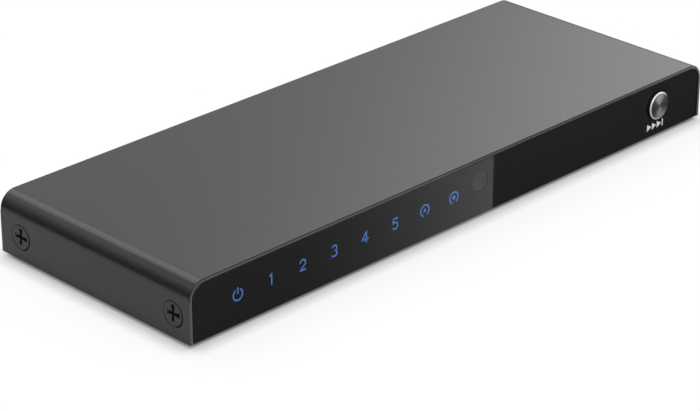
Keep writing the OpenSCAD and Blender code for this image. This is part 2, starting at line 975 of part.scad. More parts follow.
module dc_jack_body()
    color("black")
        difference() {
            union() {
                upright(y_jack, jack_l)
                    translate([x_jack, 0]) arch(jack_w, z_deck, z_deck + jack_h, jack_corner, 0);
                translate([x_jack, y_jack_end, z_jack])
                    along_y() cylinder(h = y_jack_face - y_jack_end, d = jack_nose_d);
                at_jack_pegs(z_board) cylinder(h = board_t + fit, d = jack_peg_d);
            }
            translate([x_jack, y_jack_bore, z_jack])
                along_y() cylinder(h = jack_bore_l + over, d = jack_bore);
            translate([x_jack - jack_leaf_w / 2 - fit, y_jack_bore, z_jack - jack_bore / 2 - jack_leaf_room])
                cube([jack_leaf_w + 2 * fit, y_jack_end - y_jack_bore - jack_corner, jack_bore / 2]);
        }

module dc_jack_pin()
    color("gold")
        translate([x_jack, y_jack_bore, z_jack])
            along_y() {
                cylinder(h = jack_bore_l - jack_pin_back - jack_pin / 4, d = jack_pin);
                translate([0, 0, jack_bore_l - jack_pin_back - jack_pin / 4])
                    cylinder(h = jack_pin / 4, d1 = jack_pin, d2 = jack_pin / 2);
            }

module dc_jack_leaf()
    color("gold")
        translate([x_jack - jack_leaf_w / 2, y_jack_bore + fit, z_jack - jack_bore / 2 - jack_leaf_room])
            rotate([90, 0, 90])
                linear_extrude(jack_leaf_w)
                    jack_leaf_outline(y_jack_end - y_jack_bore - jack_corner - 2 * fit);

// Side view of the leaf: flat at its root, with a hump that presses on the plug
module jack_leaf_outline(l) {
    rise = jack_leaf_room + jack_leaf_press;
    hump = jack_leaf_root + rise / tan(jack_leaf_slope);
    polygon([
        [0, 0],
        [jack_leaf_root, 0],
        [hump, rise],
        [hump + jack_leaf_flat, rise],
        [l, jack_leaf_dip],
        [l, jack_leaf_dip + jack_leaf_t],
        [hump + jack_leaf_flat, rise + jack_leaf_t],
        [hump, rise + jack_leaf_t],
        [jack_leaf_root, jack_leaf_t],
        [0, jack_leaf_t]
    ]);
}

top_cover();
base_tray();
cover_screws();
front_panel();
front_panel_tape();
ir_window();
foot(false, false);  // foot_front_left
foot(true, false);  // foot_front_right
foot(false, true);  // foot_rear_left
foot(true, true);  // foot_rear_right
select_button_cap();
select_button_stem();
tact_switch_body();
tact_switch_plunger();
main_board();
board_standoffs();
board_screws();
indicator_leds();
led_baffle();
ir_receiver();
switch_chip();
control_chip();
voltage_regulator();
power_inductor();
bulk_capacitors();
clock_crystal();
surge_arrays();
dc_jack_body();
dc_jack_pin();
dc_jack_leaf();
for (i = [0:len(port_names) - 1]) {
    port_shell(x_port[i]);
    port_tongue(x_port[i]);
    port_contacts(x_port[i]);
}
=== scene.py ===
"""Looks of a flat five-way video switch box in a folded sheet-metal case, built on its frame."""

import logging
import math
from collections.abc import Sequence
from dataclasses import dataclass
from enum import Enum

import bmesh
import bpy
from mathutils import Matrix, Vector


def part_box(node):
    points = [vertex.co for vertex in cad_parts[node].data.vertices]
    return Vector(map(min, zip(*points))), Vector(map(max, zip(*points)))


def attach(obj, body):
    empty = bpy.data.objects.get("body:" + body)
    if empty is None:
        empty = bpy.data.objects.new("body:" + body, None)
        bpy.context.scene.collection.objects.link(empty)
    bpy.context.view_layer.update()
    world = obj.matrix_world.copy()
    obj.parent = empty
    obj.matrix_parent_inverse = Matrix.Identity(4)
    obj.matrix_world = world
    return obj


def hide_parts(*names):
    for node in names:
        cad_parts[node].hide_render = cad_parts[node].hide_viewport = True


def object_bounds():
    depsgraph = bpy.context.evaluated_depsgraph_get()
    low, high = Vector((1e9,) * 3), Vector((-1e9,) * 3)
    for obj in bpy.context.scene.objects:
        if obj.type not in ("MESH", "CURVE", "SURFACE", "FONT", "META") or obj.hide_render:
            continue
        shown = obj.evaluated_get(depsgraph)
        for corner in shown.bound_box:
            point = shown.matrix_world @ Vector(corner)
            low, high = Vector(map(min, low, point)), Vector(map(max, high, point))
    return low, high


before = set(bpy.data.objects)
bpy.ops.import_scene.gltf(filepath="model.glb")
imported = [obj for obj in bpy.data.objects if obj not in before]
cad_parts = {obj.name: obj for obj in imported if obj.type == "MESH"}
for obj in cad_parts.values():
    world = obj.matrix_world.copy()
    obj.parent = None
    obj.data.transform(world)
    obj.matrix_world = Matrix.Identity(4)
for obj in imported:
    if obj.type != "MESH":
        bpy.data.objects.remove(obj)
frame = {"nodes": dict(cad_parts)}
CAD_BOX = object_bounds()

log = logging.getLogger("switch_box")

MM = 0.001
MERGE = 1e-7
SLACK = 1.01
SHARP = math.radians(35)
ARC_STEPS = 14
RING_STEPS = 64
EDGE_STEPS = 3
WAVE_PERIOD = math.pi / 10
STREAK = 0.06
X_AXIS = Vector((1, 0, 0))
Y_AXIS = Vector((0, 1, 0))
Z_AXIS = Vector((0, 0, 1))

Pair = tuple[float, float]
Pairs = tuple[Pair, ...]
Corner = tuple[Vector, float]
Circle = tuple[Vector, float]
Colour = tuple[float, float, float, float]
Edge = bmesh.types.BMEdge
Socket = bpy.types.NodeSocket
Tree = bpy.types.NodeTree


def linear(colour: str) -> Colour:
    """Turns an sRGB colour into the linear one that shaders take.

    Args:
        colour: A hex value such as "#2F2F30".

    Returns:
        Linear red, green, blue and an alpha of 1.
    """
    parts = [int(colour[i:i + 2], 16) / 255 for i in (1, 3, 5)]
    red, green, blue = (c / 12.92 if c <= 0.04045 else ((c + 0.055) / 1.055) ** 2.4 for c in parts)
    return red, green, blue, 1.0


def add_node(tree: Tree, kind: str, inputs: dict, **settings) -> bpy.types.Node:
    """Adds a node with its settings, and fills its sockets with values or links.

    Args:
        tree: The node tree that takes the node.
        kind: Blender's name of the node type, after ShaderNode.
        inputs: A value or an output socket for each input, by name or number.
        settings: Properties of the node.

    Returns:
        The new node.
    """
    node = tree.nodes.new(f"ShaderNode{kind}")
    for name, value in settings.items():
        setattr(node, name, value)
    for key, value in inputs.items():
        if isinstance(value, Socket):
            tree.links.new(value, node.inputs[key])
        else:
            node.inputs[key].default_value = value
    return node


def combine(tree: Tree, operation: str, *values) -> Socket:
    """Gives the result of a math node over values or output sockets."""
    inputs = dict(enumerate(values))
    return add_node(tree, "Math", inputs, operation=operation).outputs[0]


def empty_tree(owner: bpy.types.Material | bpy.types.World) -> Tree:
    """Empties a node tree.

    Args:
        owner: The material or the world that has it.

    Returns:
        The empty tree.
    """
    owner.use_nodes = True
    owner.node_tree.nodes.clear()
    return owner.node_tree


def verts_in(parts: Sequence) -> list[bmesh.types.BMVert]:
    """Gives the vertices among the parts that an operator made."""
    return [part for part in parts if isinstance(part, bmesh.types.BMVert)]


def middle(node: str) -> Vector:
    """Gives the middle of a CAD node's box."""
    lo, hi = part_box(node)
    return (lo + hi) / 2


class Grain(Enum):
    """How a surface was made, which decides its pattern."""

    SPRAYED = "fine orange peel of a powder coat, a paint or a plating"
    ROLLED = "streaks of rolled or drawn sheet, along Y"
    TURNED = "rings of a lathe tool, around Y"
    MOULDED = "spark-eroded grain of a mould"
    CAST = "long soft waves of cast and polished sheet"
    WOVEN = "glass cloth under lacquer"
    FOAMED = "cells of a foam"


@dataclass(frozen=True)
class Finish:
    """A finish of one real material, with its grain in colour, gloss and height.

    Lengths are in millimetres. The grain runs between the dark and the light colour, and
    between the two roughness values. A turned grain has its rings around Y through the point
    centre, which is given in metres, and spreads its gloss along the spokes by the share fan.
    """

    name: str
    dark: str
    light: str
    grain: Grain
    pitch: float
    height: float
    roughness: Pair
    metallic: float = 0.0
    ior: float = 1.5
    specular: float = 0.5
    glow: float = 0.0
    fan: float = 0.0
    centre: tuple[float, float, float] = (0.0, 0.0, 0.0)

    def spoke(self, tree: Tree) -> Socket:
        """Gives the vector from the finish's centre to the shaded point."""
        ends = {0: add_node(tree, "TexCoord", {}).outputs["Object"], 1: self.centre}
        return add_node(tree, "VectorMath", ends, operation="SUBTRACT").outputs[0]

    def pattern(self, tree: Tree) -> Socket:
        """Builds the grain.

        Args:
            tree: The material's node tree.

        Returns:
            A socket that runs from 0 to 1 over the surface.
        """
        scale = 1 / (self.pitch * MM)
        place = self.spoke(tree)
        if self.grain is Grain.ROLLED:
            stretched = {"Vector": place, "Scale": (1.0, STREAK, 1.0)}
            place = add_node(tree, "Mapping", stretched).outputs["Vector"]
        waves = {"Vector": place, "Scale": WAVE_PERIOD * scale}
        if self.grain is Grain.TURNED:
            waves |= {"Distortion": 0.6, "Detail": 1.0}
            rings = add_node(tree, "TexWave", waves, wave_type="RINGS", rings_direction="Y")
            return rings.outputs["Fac"]
        if self.grain is Grain.FOAMED:
            cells = {"Vector": place, "Scale": scale}
            return add_node(tree, "TexVoronoi", cells).outputs["Distance"]
        if self.grain is Grain.WOVEN:
            warp, weft = (
                add_node(tree, "TexWave", waves, bands_direction=way).outputs["Fac"]
                for way in ("X", "Y")
            )
            return combine(tree, "MULTIPLY", warp, weft)
        detail = {Grain.CAST: 0.0, Grain.MOULDED: 4.0}.get(self.grain, 2.0)
        noise = {"Vector": place, "Scale": scale, "Detail": detail}
        return add_node(tree, "TexNoise", noise).outputs["Fac"]

    def material(self) -> bpy.types.Material:
        """Makes the finish's material on first use.

        Returns:
            The material, with the grain in its colour, gloss and height.
        """
        found = bpy.data.materials.get(self.name)
        if found:
            return found
        made = bpy.data.materials.new(self.name)
        tree = empty_tree(made)
        grain = self.pattern(tree)
        colours = {0: grain, 6: linear(self.dark), 7: linear(self.light)}
        colour = add_node(tree, "Mix", colours, data_type="RGBA").outputs[2]
        ends = {"Value": grain, "To Min": self.roughness[0], "To Max": self.roughness[1]}
        gloss = add_node(tree, "MapRange", ends).outputs["Result"]
        relief = {"Strength": 1.0, "Distance": self.height * MM, "Height": grain}
        bump = add_node(tree, "Bump", relief).outputs["Normal"]
        inputs = {
            "Base Color": colour, "Roughness": gloss, "Normal": bump,
            "Metallic": self.metallic, "IOR": self.ior, "Specular IOR Level": self.specular,
        }
        if self.glow:
            inputs |= {"Emission Color": colour, "Emission Strength": self.glow}
        if self.fan:
            inputs |= {"Anisotropic": self.fan, "Tangent": self.spoke(tree)}
        shader = add_node(tree, "BsdfPrincipled", inputs)
        add_node(tree, "OutputMaterial", {"Surface": shader.outputs["BSDF"]})
        return made


BUTTON_CENTRE = tuple(middle("select_button_cap"))

# Powder-coated sheet steel: dark anthracite and satin, its peel too fine to see
COVER_COAT = Finish(
    "powder_coated_steel_cover", "#1B1B1C", "#212122",
    Grain.SPRAYED, 0.5, 0.0006, (0.23, 0.29), specular=0.3,
)
# A lighter, duller copy of the coat on the sheet's flat cut ends: a painted highlight where the
# edges catch the light
CUT_EDGE_PAINTED_HIGHLIGHT = Finish(
    "powder_coat_edge_painted_highlight", "#4C4C4D", "#545455",
    Grain.SPRAYED, 0.5, 0.001, (0.42, 0.5), specular=0.3,
)
# The same coat on the tray, sprayed thinner and a little drier
TRAY_COAT = Finish(
    "powder_coated_steel_tray", "#1D1D1E", "#242425",
    Grain.SPRAYED, 0.5, 0.001, (0.34, 0.42), specular=0.3,
)
# Black-zinc plated steel screws: as dark as the coat, with a fine satin
SCREW_STEEL = Finish(
    "black_zinc_plated_steel", "#1B1B1C", "#232324",
    Grain.SPRAYED, 0.2, 0.0008, (0.26, 0.36), specular=0.3,
)
# Cast acrylic sheet, printed black behind and polished: mirror gloss with long soft waves
PANEL_ACRYLIC = Finish(
    "cast_black_acrylic", "#202021", "#232324",
    Grain.CAST, 30.0, 0.004, (0.03, 0.06), ior=1.49,
)
# Smoked acrylic with a matt face that lets infrared through: a dim grey disc in the gloss
IR_ACRYLIC = Finish(
    "smoked_acrylic_matt", "#404041", "#474749",
    Grain.MOULDED, 0.12, 0.002, (0.42, 0.55), ior=1.49,
)
# Blue translucent print, lit from behind: an even glow that is a little cloudy
LIT_PRINT = Finish(
    "blue_translucent_ink_lit", "#3A5E9E", "#4468A8",
    Grain.CAST, 2.5, 0.0, (0.25, 0.35), glow=0.42,
)
# White screen-print ink: flat and opaque, with a slightly uneven lay
WHITE_PRINT = Finish(
    "white_screen_ink", "#DADADA", "#F2F2F2",
    Grain.MOULDED, 0.2, 0.003, (0.45, 0.6),
)
# Aluminium, faced on a lathe: fine rings that gather the light into two fans
SPUN_ALUMINIUM = Finish(
    "spun_aluminium_face", "#DADADF", "#E8E8EC",
    Grain.TURNED, 0.12, 0.0006, (0.22, 0.28),
    metallic=1.0, fan=0.9, centre=BUTTON_CENTRE,
)
# The same aluminium made near white and less metallic at the rim: a painted highlight, a white line
# from every side
RIM_PAINTED_HIGHLIGHT = Finish(
    "aluminium_rim_painted_highlight", "#F2F2F4", "#FAFAFB",
    Grain.ROLLED, 0.2, 0.0003, (0.3, 0.4), metallic=0.3,
)
# The same aluminium made near black on the cap's skirt: painted shade, a dark wall with little
# light
SKIRT_PAINTED_SHADE = Finish(
    "aluminium_skirt_painted_shade", "#161617", "#1F1F21",
    Grain.SPRAYED, 0.15, 0.0006, (0.4, 0.5), metallic=0.4,
)
# Moulded synthetic rubber: near black and dull, with a dusty bloom
FOOT_RUBBER = Finish(
    "moulded_rubber", "#141414", "#1E1E1E",
    Grain.MOULDED, 0.15, 0.006, (0.72, 0.88),
)
# Natural nylon of the button's stem: milky and waxy
STEM_NYLON = Finish(
    "moulded_natural_nylon", "#DAD5C6", "#EAE6DA",
    Grain.MOULDED, 0.3, 0.003, (0.35, 0.48), ior=1.53,
)
# Black plastic of sockets, chips and switches: dark with a faint moulded grain
BLACK_PLASTIC = Finish(
    "moulded_black_polyester", "#0F0F10", "#19191A",
    Grain.MOULDED, 0.1, 0.003, (0.4, 0.55), ior=1.57,
)
# Glass-cloth laminate under green lacquer: glossy, with the weave just showing
BOARD_LAMINATE = Finish(
    "lacquered_glass_laminate", "#0B3A20", "#10482A",
    Grain.WOVEN, 0.5, 0.004, (0.22, 0.34), ior=1.55,
)
# Tin-plated stamped steel: bright, with fine rolling streaks
BRIGHT_STEEL = Finish(
    "tin_plated_stamped_steel", "#B4B6B9", "#D0D2D4",
    Grain.ROLLED, 0.15, 0.0012, (0.2, 0.32), metallic=1.0,
)
# White polyester lamp bodies: clean and slightly glossy
LAMP_PLASTIC = Finish(
    "moulded_white_polyester", "#E2DFD3", "#F0EEE6",
    Grain.MOULDED, 0.15, 0.002, (0.3, 0.42),
)
# Gold-flashed bronze contacts: warm, with drawn streaks
CONTACT_GOLD = Finish(
    "gold_flashed_bronze", "#C99B3B", "#E2BC66",
    Grain.ROLLED, 0.1, 0.0008, (0.18, 0.3), metallic=1.0,
)
# Closed-cell foam tape: chalky white with small cells
TAPE_FOAM = Finish(
    "foam_tape", "#C9C6BE", "#E4E2DC",
    Grain.FOAMED, 0.25, 0.02, (0.8, 0.95),
)


class Shape:
    """A mesh under construction, with the operators that several pieces share."""

    def __init__(self) -> None:
        """Starts an empty mesh."""
        self.bm = bmesh.new()

    def outline(self, corners: Sequence[Corner]) -> None:
        """Draws a closed outline, before any face is made.

        Args:
            corners: The place of each corner, and the radius that rounds it.
        """
        verts = [self.bm.verts.new(place) for place, _ in corners]
        self.bm.faces.new(verts)
        for vert, (_, radius) in zip(verts, corners):
            if radius:
                bmesh.ops.bevel(
                    self.bm, geom=[vert], offset=radius, offset_type="OFFSET",
                    segments=ARC_STEPS, profile=0.5, affect="VERTICES", material=-1,
                )
        bmesh.ops.delete(self.bm, geom=self.bm.faces[:], context="FACES_ONLY")

    def circles(self, circles: Sequence[Circle], axis: Vector) -> list[Edge]:
        """Draws circles around an axis.

        Args:
            circles: The middle and the radius of each.
            axis: The direction that the circles' planes face.

        Returns:
            The circles' edges.
        """
        turn = Z_AXIS.rotation_difference(axis).to_matrix().to_4x4()
        edges = []
        for centre, radius in circles:
            verts = bmesh.ops.create_circle(
                self.bm, cap_ends=False, segments=RING_STEPS, radius=radius,
                matrix=Matrix.Translation(centre) @ turn,
            )["verts"]
            edges += dict.fromkeys(edge for vert in verts for edge in vert.link_edges)
        return edges

    def fill(self, edges: Sequence[Edge], normal: Vector) -> None:
        """Fills an outline and leaves the holes that lie in it open."""
        bmesh.ops.triangle_fill(
            self.bm, use_beauty=True, use_dissolve=False, edges=edges, normal=normal,
        )

    def thicken(self, way: Vector) -> None:
        """Makes a plate of all faces, which reaches as far as way does."""
        made = bmesh.ops.extrude_face_region(self.bm, geom=self.bm.faces[:])["geom"]
        bmesh.ops.translate(self.bm, vec=way, verts=verts_in(made))

    def draw_on(self, edges: Sequence[Edge], way: Vector, scale: float = 1.0) -> list[Edge]:
        """Extrudes a loop of edges and scales its new end.

        Args:
            edges: The loop that is extruded.
            way: How far and where the new end goes.
            scale: Its size across the Z axis, against the old one.

        Returns:
            The edges of the new end.
        """
        made = bmesh.ops.extrude_edge_only(self.bm, edges=edges)["geom"]
        verts = verts_in(made)
        bmesh.ops.scale(self.bm, vec=(scale, scale, 1.0), verts=verts)
        bmesh.ops.translate(self.bm, vec=way, verts=verts)
        return [part for part in made if isinstance(part, Edge)]

    def turned(self, profile: Sequence[Pair], centre: Vector, axis: Vector) -> None:
        """Spins a profile once around an axis.

        Args:
            profile: Pairs of a radius and a height along the axis.
            centre: The point on the axis that heights start from.
            axis: The direction of the axis.
        """
        across = axis.orthogonal().normalized()
        verts = [self.bm.verts.new(centre + across * r + axis * h) for r, h in profile]
        edges = [self.bm.edges.new(pair) for pair in zip(verts, verts[1:])]
        bmesh.ops.spin(
            self.bm, geom=verts + edges, cent=centre, axis=axis, dvec=(0, 0, 0),
            angle=math.tau, steps=RING_STEPS, use_merge=True, use_duplicate=False,
        )
        bmesh.ops.remove_doubles(self.bm, verts=self.bm.verts[:], dist=MERGE)
        self.face_outwards()

    def face_outwards(self) -> None:
        """Turns every face of a closed shape outwards."""
        bmesh.ops.recalc_face_normals(self.bm, faces=self.bm.faces[:])

    def sharp_edges(self) -> list[Edge]:
        """Gives the edges where two faces meet at an angle that shows."""
        return [e for e in self.bm.edges if e.is_manifold and e.calc_face_angle() > SHARP]

    def soften(self, width: float, edges: Sequence[Edge] | None = None) -> None:
        """Rounds edges off, as paint, polishing or a mould leaves them.

        Args:
            width: Width of the rounding, in metres.
            edges: The edges to round, or all sharp ones.
        """
        bmesh.ops.bevel(
            self.bm, geom=edges or self.sharp_edges(), offset=width, offset_type="OFFSET",
            segments=EDGE_STEPS, profile=0.5, affect="EDGES", material=-1, clamp_overlap=True,
        )

    def piece(
        self, name: str, body: str, slot: str, finishes: Sequence[Finish],
        stands_for: Sequence[str] = (),
    ) -> None:
        """Makes the mesh a piece of the object.

        Args:
            name: Name of the piece.
            body: The body that it rides on.
            slot: The record's material slot; not used.
            finishes: Its finishes, in the order of the faces' material numbers.
            stands_for: The CAD nodes that it replaces.
        """
        closed = all(edge.is_manifold for edge in self.bm.edges)
        mesh = bpy.data.meshes.new(name)
        self.bm.to_mesh(mesh)
        self.bm.free()
        mesh.shade_smooth()
        mesh.set_sharp_from_angle(angle=SHARP)
        for finish in finishes:
            mesh.materials.append(finish.material())
        made = bpy.data.objects.new(name, mesh)
        bpy.context.scene.collection.objects.link(made)
        made.modifiers.new("even_normals", "WEIGHTED_NORMAL").keep_sharp = True
        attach(made, body)
        if stands_for:
            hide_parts(*stands_for)
        log.info("%s: %d faces, %s", name, len(mesh.polygons), "closed" if closed else "open")


@dataclass
class ScrewPlaces:
    """Where the four side screws sit: their heads' radius, outer X and Z, and the rows' Y."""

    radius: float
    x: float
    z: float
    rows: Pair

    @classmethod
    def from_frame(cls) -> "ScrewPlaces":
        """Reads the places from the frame.

        Returns:
            The places, in metres.
        """
        lo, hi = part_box("cover_screws")
        radius = (hi.z - lo.z) / 2
        return cls(radius, hi.x, (lo.z + hi.z) / 2, (lo.y + radius, hi.y - radius))


@dataclass
class TopCover:
    """The folded cover, with rounded shoulders and four countersunk holes. In millimetres.

    A cut edge counts as flat where its normal's Y is over flat, and flat cut edges get a painted
    highlight.
    """

    sheet: float = 0.8
    shoulder: float = 4.4
    hole_gap: float = 0.3
    sink_rim: float = 0.15
    edge: float = 0.05
    outer_edge: float = 0.2
    flat: float = 0.99

    def build(self, screws: ScrewPlaces) -> None:
        """Builds the cover around its screws.

        Args:
            screws: Where the countersunk holes go.
        """
        lo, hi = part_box("top_cover")
        shape = Shape()
        corners = [
            (lo.x, lo.z, 0.0), (lo.x, hi.z, self.shoulder),
            (hi.x, hi.z, self.shoulder), (hi.x, lo.z, 0.0),
        ]
        shape.outline([(Vector((x, lo.y, z)), r * MM) for x, z, r in corners])
        bm = shape.bm
        open_side = [e for e in bm.edges if all(abs(v.co.z - lo.z) < MERGE for v in e.verts)]
        bmesh.ops.delete(bm, geom=open_side, context="EDGES")
        made = bmesh.ops.extrude_edge_only(bm, edges=bm.edges[:])["geom"]
        bmesh.ops.translate(bm, vec=Y_AXIS * (hi.y - lo.y), verts=verts_in(made))
        radius = screws.radius + self.hole_gap * MM
        for x in (lo.x, hi.x):
            self.pierce(shape, x, [(Vector((x, y, screws.z)), radius) for y in screws.rows])
        shape.face_outwards()
        if max(bm.faces, key=lambda face: face.calc_center_median().z).normal.z < 0:
            bmesh.ops.reverse_faces(bm, faces=bm.faces[:])
        bmesh.ops.solidify(bm, geom=bm.faces[:], thickness=self.sheet * MM)
        self.countersink(shape, lo.x, hi.x, screws)
        self.round_off(shape)
        shape.piece("cover_sheet", "case", "cover_coat", [COVER_COAT, CUT_EDGE_PAINTED_HIGHLIGHT], ["top_cover"])

    def round_off(self, shape: Shape) -> None:
        """Rounds every edge, the outer ones at the front and rear most; the ends get a painted
        highlight.

        Args:
            shape: The pierced cover.
        """
        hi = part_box("top_cover")[1]
        outer, others = [], []
        for edge in shape.sharp_edges():
            at_end = all(abs(abs(vert.co.y) - hi.y) < MERGE for vert in edge.verts)
            far_out = all(self.on_outside(vert.co, hi) for vert in edge.verts)
            (outer if at_end and far_out else others).append(edge)
        shape.soften(self.edge * MM, others)
        shape.soften(self.outer_edge * MM, [edge for edge in outer if edge.is_valid])
        # The flat cut ends take the lighter copy of the coat: a painted highlight
        for face in shape.bm.faces:
            face.material_index = int(abs(face.normal.y) > self.flat)

    def on_outside(self, place: Vector, hi: Vector) -> bool:
        """Says whether a point lies on the cover's outer side.

        Args:
            place: The point.
            hi: The high corner of the cover's box.

        Returns:
            True on the outer side of the sheet.
        """
        bend = self.shoulder * MM
        x, z = abs(place.x) - (hi.x - bend), place.z - (hi.z - bend)
        reach = math.hypot(x, z) if min(x, z) > 0 else max(x, z)
        return reach > bend - self.sheet * MM / 2

    def pierce(self, shape: Shape, x: float, circles: Sequence[Circle]) -> None:
        """Cuts round holes in a flat side wall.

        Args:
            shape: The cover's outer skin.
            x: Where the wall stands.
            circles: The holes.
        """
        bm = shape.bm
        wall = [f for f in bm.faces if all(abs(v.co.x - x) < MERGE for v in f.verts)]
        rim = [edge for face in wall for edge in face.edges]
        bmesh.ops.delete(bm, geom=wall, context="FACES_ONLY")
        shape.fill(rim + shape.circles(circles, X_AXIS), X_AXIS)

    def countersink(self, shape: Shape, left: float, right: float, screws: ScrewPlaces) -> None:
        """Draws the inner rims of the holes together, as the screw heads slope.

        Args:
            shape: The pierced cover.
            left: X of its left wall's outer face.
            right: X of its right wall's outer face.
            screws: Where the holes are.
        """
        inner = (self.sheet - self.sink_rim) * MM
        radius = screws.radius + self.hole_gap * MM
        ratio = (radius - inner) / radius
        walls = (left + self.sheet * MM, right - self.sheet * MM)
        for centre in (Vector((x, y, screws.z)) for x in walls for y in screws.rows):
            rim = [v for v in shape.bm.verts if (v.co - centre).length < radius * SLACK]
            space = Matrix.Translation(-centre)
            bmesh.ops.scale(shape.bm, vec=(1.0, ratio, ratio), space=space, verts=rim)


@dataclass
class SideScrews:
    """Four countersunk screws with a cross recess, flush in the cover's sides. In millimetres.

    The screws sit back and up in their holes by rest, with their crosses turned by degrees.
    """

    shank: float = 1.5
    rim: float = 0.03
    length: float = 5.0
    arm_root: float = 0.32
    arm_tip: float = 0.6
    arm_length: float = 2.2
    recess: float = 1.3
    recess_taper: float = 0.5
    edge: float = 0.07
    turns: tuple[float, ...] = (0.0, -3.0, -8.0, 33.0)
    rest: Pair = (0.1, 0.07)

    def build(self, screws: ScrewPlaces) -> None:
        """Builds the screws, each with its recess turned as it came to rest.

        Args:
            screws: Where the screws sit.
        """
        rows = list(zip(("front", "rear"), screws.rows))
        places = [(side, row, y) for side in (-1, 1) for row, y in rows]
        along, up = (way * MM for way in self.rest)
        for (side, row, y), turn in zip(places, self.turns):
            shape = self.head(screws.radius)
            spin = Matrix.Rotation(math.radians(turn), 4, "Z")
            stand = Matrix.Rotation(side * math.pi / 2, 4, "Y") @ spin
            place = Matrix.Translation((side * screws.x, y + along, screws.z + up)) @ stand
            bmesh.ops.transform(shape.bm, matrix=place, verts=shape.bm.verts[:])
            name = f"cover_screw_{row}_{'left' if side < 0 else 'right'}"
            shape.piece(name, "case", "screw_steel", [SCREW_STEEL], ["cover_screws"])

    def head(self, radius: float) -> Shape:
        """Builds one screw with its face at z = 0, facing up.

        Args:
            radius: Radius of the head, in metres.

        Returns:
            The screw's shape.
        """
        shape = Shape()
        arm = [
            (self.arm_root, -self.arm_root),
            (self.arm_length, -self.arm_tip), (self.arm_length, self.arm_tip),
        ]
        corners = [
            (Matrix.Rotation(quarter * math.pi / 2, 3, "Z") @ Vector((x, y, 0)) * MM, 0.0)
            for quarter in range(4) for x, y in arm
        ]
        shape.outline(corners)
        cross = shape.bm.edges[:]
        ring = shape.circles([(Vector(), radius)], Z_AXIS)
        shape.fill(cross + ring, Z_AXIS)
        floor = shape.draw_on(cross, -Z_AXIS * self.recess * MM, self.recess_taper)
        shape.fill(floor, Z_AXIS)
        cone = radius - self.shank * MM
        ring_below = shape.draw_on(ring, -Z_AXIS * self.rim * MM)
        neck = shape.draw_on(ring_below, -Z_AXIS * cone, self.shank * MM / radius)
        tip = shape.draw_on(neck, -Z_AXIS * (self.length * MM - cone - self.rim * MM))
        shape.fill(tip, Z_AXIS)
        shape.face_outwards()
        rims = [e for e in shape.sharp_edges() if all(abs(v.co.z) < MERGE for v in e.verts)]
        shape.soften(self.edge * MM, rims)
        return shape


@dataclass
class FrontPanel:
    """The glossy front panel with its infrared window. In millimetres."""

    top_corner: float = 3.35
    low_corner: float = 0.2
    shift: float = 0.2
    window_gap: float = 0.05
    button_gap: float = 0.2
    edge: float = 0.1
    window_edge: float = 0.12

    def build(self) -> None:
        """Builds the panel and the window in it."""
        lo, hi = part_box("front_panel")
        left, right = lo.x + self.shift * MM, hi.x + self.shift * MM
        corners = [
            (left, lo.z, self.low_corner), (right, lo.z, self.low_corner),
            (right, hi.z, self.top_corner), (left, hi.z, self.top_corner),
        ]
        shape = Shape()
        shape.outline([(Vector((x, lo.y, z)), r * MM) for x, z, r in corners])
        holes = [
            self.hole("ir_window", lo.y, self.window_gap),
            self.hole("select_button_cap", lo.y, self.button_gap),
        ]
        shape.fill(shape.bm.edges[:] + shape.circles(holes, -Y_AXIS), -Y_AXIS)
        shape.thicken(Y_AXIS * (hi.y - lo.y))
        shape.face_outwards()
        rim = [
            edge for edge in shape.sharp_edges()
            if not any((edge.verts[0].co - hub).xz.length < radius + MERGE for hub, radius in holes)
        ]
        shape.soften(self.edge * MM, rim)
        shape.piece("front_panel_sheet", "case", "panel_acrylic", [PANEL_ACRYLIC], ["front_panel"])
        self.build_window()

    def hole(self, node: str, y: float, gap: float) -> Circle:
        """Gives the hole for a round CAD node.

        Args:
            node: The node that sits in the hole.
            y: The plane that the hole is drawn in, in metres.
            gap: Room around the node, in millimetres.

        Returns:
            The hole's middle and radius, in metres.
        """
        lo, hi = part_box(node)
        return Vector(((lo.x + hi.x) / 2, y, (lo.z + hi.z) / 2)), (hi.x - lo.x) / 2 + gap * MM

    def build_window(self) -> None:
        """Builds the matt infrared window, flush with the panel."""
        lo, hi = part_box("ir_window")
        centre, radius = self.hole("ir_window", lo.y, 0.0)
        depth = hi.y - lo.y
        shape = Shape()
        shape.turned([(0, 0), (radius, 0), (radius, depth), (0, depth)], centre, Y_AXIS)
        shape.soften(self.window_edge * MM)
        shape.piece("ir_window_disc", "case", "ir_acrylic", [IR_ACRYLIC], ["ir_window"])


class Sign(Enum):
    """What the lit marks on the panel show, from the left."""

    POWER = "power"
    ONE = "one"
    TWO = "two"
    THREE = "three"
    FOUR = "four"
    FIVE = "five"
    RING_UP = "ring_up"
    RING_POINT = "ring_point"


@dataclass(frozen=True)
class Stroke:
    """A pen stroke: where it starts, where it heads, and its moves. In millimetres and degrees.

    A move is a length and a turn of 0 for a straight run, or a radius and an arc's turn.
    Headings and turns go from +X towards +Z.
    """

    x: float
    z: float
    heading: float
    moves: Pairs


